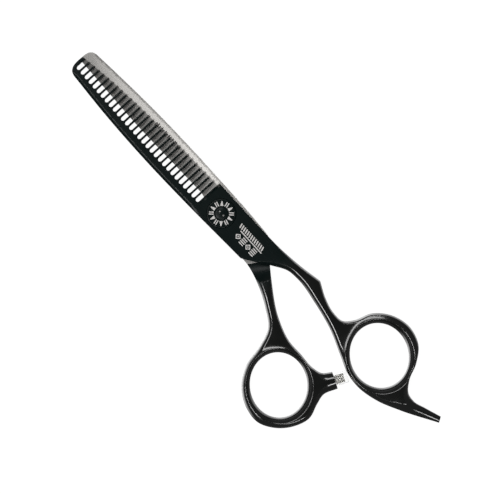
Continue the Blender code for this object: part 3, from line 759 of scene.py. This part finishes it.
def cutting_half(coating, steel):
    """The plain blade, its shank, the thumb ring and the bumper boss."""
    loop, parts = cutting_outline()
    spine, edge, heel, shank = parts[0], parts[2], parts[3], parts[5]
    hole = ellipse(*THUMB_HOLE)
    pocket = [circle(WASHER_POCKET_R + r) for r in (0, WALL)]
    flange = [flange_outline(NUT_FLANGE_R + NUT_GAP + r, NUT_FLANGE_FLAT + NUT_GAP + r)
              for r in (0, WALL, CHAMFER)]

    def heights(points):
        x, y = points.T
        from_axis = np.hypot(x, y)
        handle = handle_half_height(points, [heel, shank], hole)
        to_handle = smooth_step(PLATE_END, HANDLE_START, y)
        from_edge, from_spine = distance_to(points, edge), distance_to(points, spine)
        ground = np.sin(np.clip(from_edge / GRIND_WIDTH, 0, 1) * math.pi / 2)
        ground = CUTTING_EDGE_SHARE + (1 - CUTTING_EDGE_SHARE) * ground
        thick = blade_thickness(y) * (1 + (ground - 1) * smooth_step(3, 10, y))
        from_side = distance_to(points, loop, closed=True) + 2 * (y > 6)
        rounding = quarter_round(np.minimum(from_spine, from_side), SPINE_ROUND)
        plate = RIDE + thick - SPINE_ROUND * (1 - rounding)
        low = -(plate + (handle - plate) * to_handle)
        width = np.maximum(from_edge + from_spine - 2 * HONED_LINE, 0.1)
        across = np.clip((from_edge - HONED_LINE) / width, 0, 1)
        hollow = HOLLOW_GRIND * np.sin(across * math.pi) * smooth_step(9, 16, y) * smooth_step(68, 62, y)
        bevel_wide, bevel_deep = INNER_SPINE_BEVEL
        bevel = bevel_deep * np.clip(1 - from_spine / bevel_wide, 0, 1)
        inner = -RIDE - hollow - bevel
        high = np.where(y > PLATE_END, inner, np.minimum(inner + cove(points, -1), handle))
        high = np.where(from_axis < WASHER_POCKET_R + WALL / 2, -RIDE - WASHER_POCKET_DEPTH, high)
        reach = np.where(inside(points, flange[0]), 0, distance_to(points, flange[0], closed=True))
        floor = NUT_FLANGE_THICK + NUT_GAP / 2 - HALF_THICK
        rim = low + CHAMFER * np.clip(1 - reach / CHAMFER, 0, 1)
        low = np.where(reach < CHAMFER, floor + (rim - floor) * np.clip(reach / WALL, 0, 1), low)
        return low, high

    def slots(centres, face_side):
        if face_side > 0:
            return ~past_cove(centres, -1, COVE_BARE)
        if face_side == 0:
            return (distance_to(centres, edge) < 0.2) & (centres[:, 1] > 9)
        return np.zeros(len(centres), bool)

    plate = beside(spine, [0.1, 0.3, 0.55, 1.0]) + beside(edge, [0.1, 0.35, HONED_LINE, 1.1, 1.7, 2.5, 3.4])
    plate += beside(heel, [0.1, 0.3, 0.7]) + honeycomb(-7, 8, -18, 69, 0.7)
    blade = thin_out(plate, loop, [circle(WASHER_POCKET_R + 0.2)], 0.16, 0.05)
    samples = joined(blade, loop, hole, [heel, shank], (-39, 8), -70)
    obj = solid_between("cutting_half", loop, [hole, circle(BARREL_BORE_R)], [*pocket, *flange],
                        seam_across(loop, -1), samples, heights, slots)
    drill(obj, on_boss(turned("stud_hole", [
        (0, 1), (0, -STUD_HOLE_DEPTH), (STUD_HOLE_R, -STUD_HOLE_DEPTH), (STUD_HOLE_R, -CHAMFER),
        (STUD_HOLE_R + CHAMFER, 0.01), (STUD_HOLE_R + CHAMFER, 1)], 48)))
    return place(obj, "thumb_half", "black_coating", [coating, steel], "cutting_blade")


# ---------------------------------------------------------------- turned pieces

def turned(name, profile, segments=96):
    """A solid of revolution about Z from a closed profile of (radius, height from the middle plane)."""
    bm = bmesh.new()
    verts = [vertex(bm, r, 0, z) for r, z in profile]
    edges = [bm.edges.new(pair) for pair in zip(verts, verts[1:])]
    if profile[0][0] or profile[-1][0]:
        edges.append(bm.edges.new((verts[-1], verts[0])))
    bmesh.ops.spin(bm, geom=verts + edges, cent=(0, 0, 0), axis=(0, 0, 1), angle=2 * math.pi,
                   steps=segments, use_merge=True)
    bmesh.ops.remove_doubles(bm, verts=bm.verts, dist=1e-7)
    return finished(name, bm)


def aside(obj, x, y):
    """Moves a turned piece so that its axis is at (x, y)."""
    obj.data.transform(Matrix.Translation((x * MM, y * MM, 0)))
    return obj


def drill(obj, cutter):
    """Cuts a shape out of a piece for good, and deletes the cutter."""
    modifier = obj.modifiers.new("cut", "BOOLEAN")
    modifier.solver = "EXACT"
    modifier.object = cutter
    bpy.context.view_layer.update()
    graph = bpy.context.evaluated_depsgraph_get()
    mesh = bpy.data.meshes.new_from_object(obj.evaluated_get(graph))
    obj.modifiers.clear()
    obj.data = mesh
    mesh.set_sharp_from_angle(angle=math.radians(30))
    bpy.data.objects.remove(cutter)


def on_boss(obj):
    """Moves a piece turned about Z so that its axis leaves the middle of the boss's end face."""
    low, high = Vector(BOSS_LOW), Vector(BOSS_HIGH)
    centre = (low + high) / 2
    face = (high - low).normalized()
    outward = Vector((face.y, -face.x, 0))
    turn = outward.to_track_quat("Z", "Y").to_matrix().to_4x4()
    obj.data.transform(Matrix.Translation((centre.x * MM, centre.y * MM, MID * MM)) @ turn
                       @ Matrix.Translation((0, 0, -MID * MM)))
    return obj


def rectangle(left, right, low, high):
    return [(left, low), (right, low), (right, high), (left, high)]


def skin(bm, rings):
    """Closes a stack of rings of vertices with walls and two ends."""
    for lower, upper in zip(rings, rings[1:]):
        for i in range(len(lower)):
            k = (i + 1) % len(lower)
            bm.faces.new([lower[i], lower[k], upper[k], upper[i]])
    bm.faces.new(rings[0][::-1])
    bm.faces.new(rings[-1])


def slab(name, loops, low, high):
    """Flat plates with the given outlines between two heights, joined in one object."""
    bm = bmesh.new()
    for loop in loops:
        face = bm.faces.new([vertex(bm, x, y, low) for x, y in loop])
        grown = bmesh.ops.extrude_face_region(bm, geom=[face])
        top = [v for v in grown["geom"] if isinstance(v, bmesh.types.BMVert)]
        bmesh.ops.translate(bm, verts=top, vec=(0, 0, (high - low) * MM))
    return finished(name, bm)


def disc_and_screw(coating, steel, ink):
    """The tension disc with its index ring, and the screw with its two spanner holes."""
    groove_r, groove_wide, groove_deep = DISC_GROOVE
    seat_r = SCREW_HEAD_R + SCREW_GAP
    disc = turned("tension_disc_fine", [
        (DISC_R, DISC_RIM_LOW), (DISC_R, DISC_TOP - LIP), (DISC_R - LIP * 0.3, DISC_TOP - LIP * 0.3),
        (DISC_R - LIP, DISC_TOP), (groove_r + groove_wide, DISC_TOP), (groove_r, DISC_TOP - groove_deep),
        (groove_r - groove_wide, DISC_TOP), (seat_r + LIP, DISC_TOP), (seat_r, DISC_TOP - LIP),
        (seat_r, SCREW_SEAT - SCREW_GAP), (SCREW_R + SCREW_GAP, SCREW_SEAT - SCREW_GAP),
        (SCREW_R + SCREW_GAP, DISC_HUB_LOW), (DISC_HUB_R, DISC_HUB_LOW), (DISC_HUB_R, DISC_RIM_LOW)])
    place(disc, "tension_screw", "black_coating", [coating], "tension_disc")
    thread = [(SCREW_R - SCREW_THREAD * (i % 2), SCREW_LOW + SCREW_THREAD * i)
              for i in range(SCREW_THREAD_STEPS)]
    screw = turned("pivot_screw_fine", [
        (0, SCREW_LOW), *thread, (SCREW_R, SCREW_NECK), (SCREW_R, SCREW_SEAT), (SCREW_HEAD_R, SCREW_SEAT),
        (SCREW_HEAD_R, DISC_TOP - LIP), (SCREW_HEAD_R - LIP * 0.3, DISC_TOP - LIP * 0.3),
        (SCREW_HEAD_R - LIP, DISC_TOP), (0, DISC_TOP)])
    for side, word in ((-1, "low"), (1, "high")):
        y, floor = side * KEY_HOLE_OFFSET, DISC_TOP - KEY_HOLE_DEPTH
        hole = turned("key_hole", [(0, floor), (KEY_HOLE_R, floor), (KEY_HOLE_R, DISC_TOP - 0.03),
                                   (KEY_HOLE_R + 0.04, 3), (0, 3)], 32)
        drill(screw, aside(hole, 0, y))
        pad_r, low, high = KEY_HOLE_PAD
        pad = turned(f"key_hole_floor_{word}", rectangle(0, pad_r, DISC_TOP - low, DISC_TOP - high), 32)
        place(aside(pad, 0, y), "tension_screw", "bare_steel", [steel])
    place(screw, "tension_screw", "black_coating", [coating], "pivot_screw")
    marks = []
    low, high = INDEX_RADII
    for i in range(12):
        turn = Matrix.Rotation(2 * math.pi * (i + 0.5) / 12, 2)
        if i % 2:
            shapes = [rectangle(-0.5, -0.17, low, high), rectangle(0.17, 0.5, low, high)]
        else:
            shapes = [[(-0.55, low), (0.55, low), (0.13, high), (-0.13, high)]]
        marks += [[tuple(turn @ Vector(p)) for p in shape] for shape in shapes]
    index = slab("tension_index", marks, DISC_TOP - PRINT_SUNK, DISC_TOP + INDEX_PROUD)
    place(index, "tension_screw", "white_polymer", [ink])


def plate_marks(ink):
    """Plain ornament on the comb plate: four tiles beside a line with slanted bars."""
    tiles = []
    for i in range(4):
        y = TILE_TOP - TILE_PITCH * i
        if i % 2:
            near, far, pitch = TILE_BARS
            for sign in (-1, 1):
                for step in (0, pitch):
                    sides = TILE_X + sign * (near + step), TILE_X + sign * (far + step)
                    tiles.append(rectangle(*sides, y - TILE_HALF, y + TILE_HALF)[::sign])
        else:
            corners = [(0, 1), (-1, 0), (0, -1), (1, 0)]
            inner = DIAMOND - DIAMOND_FRAME
            for a, b in zip(corners, corners[1:] + corners[:1]):
                frame_side = ((a, DIAMOND), (b, DIAMOND), (b, inner), (a, inner))
                tiles.append([(TILE_X + px * r, y + py * r) for (px, py), r in frame_side])
            tiles.append([(TILE_X + px * DIAMOND_CORE, y + py * DIAMOND_CORE) for px, py in corners])
    bars = [rectangle(*LINE_BOX)]
    left, right = BAR_X
    for i in range(BAR_COUNT):
        low, middle, high = (BAR_TOP - BAR_PITCH * i + BAR_THICK * k for k in range(3))
        bars.append([(left, low), (right, middle), (right, high), (left, middle)])
    marks = slab("plate_ornament", tiles + bars, HALF_THICK - PRINT_SUNK, HALF_THICK + PRINT_PROUD)
    place(marks, "finger_half", "white_polymer", [ink])


def etched_marks(ink):
    """A short row of plain etched dashes on the cutting blade's inner face."""
    dashes = []
    left, right = DASH_X
    for i in range(DASH_COUNT):
        y = DASH_START + DASH_PITCH * i
        dashes.append(rectangle(left, right - DASH_STAGGER * (i % 2), y - DASH_HALF, y + DASH_HALF))
    marks = slab("blade_ornament", dashes, DASH_TOP - HOLLOW_GRIND, DASH_TOP)
    place(marks, "thumb_half", "bare_steel", [ink])


def helix_stud(nylon):
    """The bumper's threaded stud, with a real helical thread."""
    length, per_turn, rows_per_turn, run_out = STUD_DEPTH + STUD_REACH, 36, 8, 0.3
    bm = bmesh.new()
    rows = int(length / STUD_PITCH * rows_per_turn) + 1
    rings = []
    for j in range(rows + 1):
        z = -STUD_DEPTH + length * j / rows
        ring = []
        for i in range(per_turn):
            angle = 2 * math.pi * i / per_turn
            crest = abs(2 * ((z / STUD_PITCH - i / per_turn) % 1) - 1)
            fade = min(1, (STUD_REACH - z) / run_out, (z + STUD_DEPTH) / run_out)
            r = STUD_R - THREAD_DEPTH * (1 - smooth_step(0.1, 0.9, crest) * fade)
            ring.append(vertex(bm, r * math.cos(angle), r * math.sin(angle), z))
        rings.append(ring)
    skin(bm, rings)
    stud = on_boss(finished("bumper_stud_fine", bm, 50))
    return place(stud, "bumper", "clear_nylon", [nylon], "bumper_stud")


def bumper_cap(silicone):
    """The soft clear cap over the stud's end."""
    bore_r, bore_end = STUD_R + CAP_GAP, STUD_REACH + CAP_GAP
    profile = [(0, bore_end), (bore_r, bore_end), (bore_r, BUMPER_START),
               (BUMPER_R - CAP_LIP, BUMPER_START), (BUMPER_R, BUMPER_START + CAP_LIP)]
    for angle in np.linspace(0, math.pi / 2, 9):
        profile.append((BUMPER_R - CAP_END_ROUND * (1 - math.cos(angle)),
                        BUMPER_REACH - CAP_END_ROUND * (1 - math.sin(angle))))
    profile.append((0, BUMPER_REACH))
    cap = on_boss(turned("bumper_cap_fine", profile, 64))
    return place(cap, "bumper", "clear_silicone", [silicone], "bumper_cap")


def pivot_nut(steel):
    """The flush nut in the back, with chamfered edges and two key holes, and its barrel."""
    bm = bmesh.new()
    rings = []
    for shrink, z in ((NUT_BEVEL, 0), (0, NUT_BEVEL), (0, NUT_FLANGE_THICK)):
        loop = flange_outline(NUT_FLANGE_R - shrink, NUT_FLANGE_FLAT - shrink, 24)
        rings.append([vertex(bm, *p, z - HALF_THICK) for p in loop])
    skin(bm, rings)
    nut = finished("pivot_nut_fine", bm)
    for side in (-1, 1):
        hole = turned("nut_key_hole", [
            (0, -4), (NUT_HOLE_R + 0.04, -4), (NUT_HOLE_R + 0.04, -HALF_THICK + 0.03),
            (NUT_HOLE_R, -HALF_THICK + 0.07), (NUT_HOLE_R, NUT_HOLE_TOP), (0, NUT_HOLE_TOP)], 32)
        drill(nut, aside(hole, side * NUT_HOLE_OFFSET, 0))
    place(turned("pivot_nut_barrel", rectangle(*NUT_BARREL)), "thumb_half", "bare_steel", [steel])
    return place(nut, "thumb_half", "bare_steel", [steel], "pivot_nut")


def hidden_pieces(nodes, steel, cage_metal, polymer):
    """Finishes for the CAD pieces inside the pivot, whose shapes stay as they are."""
    finishes = {"pivot_bush": polymer, "blade_washer": polymer, "ball_cage": cage_metal}
    for name in ("pivot_bush", "blade_washer", "ball_cage", "lower_race", "upper_race", "spring_washer",
                 *(n for n in nodes if n.startswith("bearing_ball"))):
        mesh = nodes[name].data
        mesh.materials.clear()
        mesh.materials.append(finishes.get(name, steel))


# ---------------------------------------------------------------- studio

def studio():
    """A glowing white table, soft surroundings that are dark overhead and bright low down on the left and the
    right, and the lamps. Polished surfaces don't mirror the table, only the surroundings and the lamps."""
    bpy.ops.mesh.primitive_plane_add(size=3)
    table = bpy.context.object
    table.name = "light_table"
    table.location.z = -TABLE_GAP
    surface = Shader("table_surface", grey(0.08), 0.8, emission_color=(1, 1, 1, 1), emission_strength=0.97)
    table.data.materials.append(surface.material)
    table.visible_glossy = False

    world = bpy.data.worlds.new("surroundings")
    bpy.context.scene.world = world
    world.use_nodes = True
    tree = world.node_tree
    sky = Graph(tree, tree.nodes.new("ShaderNodeTexCoord").outputs["Generated"])
    overhead = sky.range(sky.towards(0, 0), 0.85, 0.99, SIDE_GLOW, OVERHEAD_GLOW, smooth=True)
    below = sky.range(sky.towards(0, 180), -0.2, 0.5, 0, LEFT_GLOW, smooth=True)
    leftwards = sky.range(sky.towards(105, 90), 0.1, 0.6, 0, 1, smooth=True)
    left = sky.math("MULTIPLY", below, leftwards)
    right = sky.range(sky.towards(5, 125), 0.75, 1.0, 0, RIGHT_GLOW, smooth=True)
    level = sky.math("ADD", overhead, sky.math("ADD", left, right))
    tree.nodes["Background"].inputs["Color"].default_value = (1, 1, 1, 1)
    tree.links.new(level, tree.nodes["Background"].inputs["Strength"])

    for name, azimuth, tilt, wide, tall, glow in LAMPS:
        light = bpy.data.lights.new(name, "AREA")
        light.shape = "RECTANGLE"
        light.size = 2 * LAMP_AWAY * math.tan(math.radians(wide / 2))
        light.size_y = 2 * LAMP_AWAY * math.tan(math.radians(tall / 2))
        light.energy = glow * math.pi * light.size * light.size_y
        lamp = bpy.data.objects.new(name, light)
        bpy.context.scene.collection.objects.link(lamp)
        away = direction(azimuth, tilt)
        lamp.location = away * LAMP_AWAY + Vector((0, -0.03, 0))
        lamp.rotation_euler = (-away).to_track_quat("-Z", "Y").to_euler()


def camera():
    data = bpy.data.cameras.new("camera")
    data.lens, data.sensor_width = LENS, SENSOR
    data.clip_end = 20
    obj = bpy.data.objects.new("camera", data)
    bpy.context.scene.collection.objects.link(obj)
    away = VIEW_WIDTH * LENS / SENSOR
    obj.location = (VIEW_CENTRE[0] * MM, VIEW_CENTRE[1] * MM, (2 * HALF_THICK + away) * MM)
    obj.rotation_euler = (0, 0, math.radians(VIEW_TURN))
    bpy.context.scene.camera = obj
    bpy.context.scene.view_settings.view_transform = "Standard"


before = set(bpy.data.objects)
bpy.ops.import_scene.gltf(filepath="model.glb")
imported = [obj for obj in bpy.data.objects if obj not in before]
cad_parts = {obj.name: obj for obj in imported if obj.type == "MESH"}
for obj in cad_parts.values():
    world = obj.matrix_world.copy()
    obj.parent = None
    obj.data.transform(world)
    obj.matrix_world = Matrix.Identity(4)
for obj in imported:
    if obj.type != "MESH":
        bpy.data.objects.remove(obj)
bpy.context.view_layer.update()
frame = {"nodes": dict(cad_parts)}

coating = black_coating()
steel = ground_steel()
small_steel = simple_finish("bright_steel", (0.66, 0.65, 0.63), 0.22, (2600, (3, 3, 1), 4),
                            ((0.6, 0.59, 0.57), (0.7, 0.69, 0.67)), (0.17, 0.3), depth=0.000003, metallic=1.0)
ink = simple_finish("white_print", (0.55, 0.53, 0.51), 0.6, (3000, EVEN, 4, 0.7),
                    ((0.44, 0.43, 0.415), (0.78, 0.76, 0.74)), (0.5, 0.7), (0.35, 0.65))
etched = simple_finish("etched_mark", (0.06, 0.057, 0.055), 0.55, (4000, EVEN, 3),
                       ((0.04, 0.038, 0.036), (0.09, 0.086, 0.083)), (0.5, 0.65), metallic=0.6)
nylon = simple_finish("clear_nylon", (0.8, 0.79, 0.76), 0.4, (1500, EVEN, 4),
                      ((0.6, 0.59, 0.56), (0.92, 0.91, 0.88)), (0.25, 0.45), (0.35, 0.65),
                      transmission_weight=0.5, ior=1.35)
silicone = simple_finish("clear_silicone", (0.97, 0.975, 0.965), 0.12, (900, EVEN, 3),
                         ((0.95, 0.955, 0.945), (0.99, 0.99, 0.985)), (0.08, 0.2),
                         transmission_weight=1.0, ior=1.25)
brass = simple_finish("cage_brass", (0.7, 0.5, 0.24), 0.35, (900, EVEN, 4),
                      ((0.6, 0.42, 0.19), (0.76, 0.57, 0.3)), (0.28, 0.45), metallic=1.0)
polymer = simple_finish("white_polymer", (0.82, 0.82, 0.79), 0.45, (700, EVEN, 3),
                        ((0.78, 0.78, 0.75), (0.86, 0.86, 0.83)), (0.4, 0.52), subsurface_weight=0.1)

comb_half(coating, steel)
cutting_half(coating, steel)
disc_and_screw(coating, small_steel, ink)
plate_marks(ink)
etched_marks(etched)
helix_stud(nylon)
bumper_cap(silicone)
pivot_nut(small_steel)
hidden_pieces(frame["nodes"], small_steel, brass, polymer)
studio()
camera()
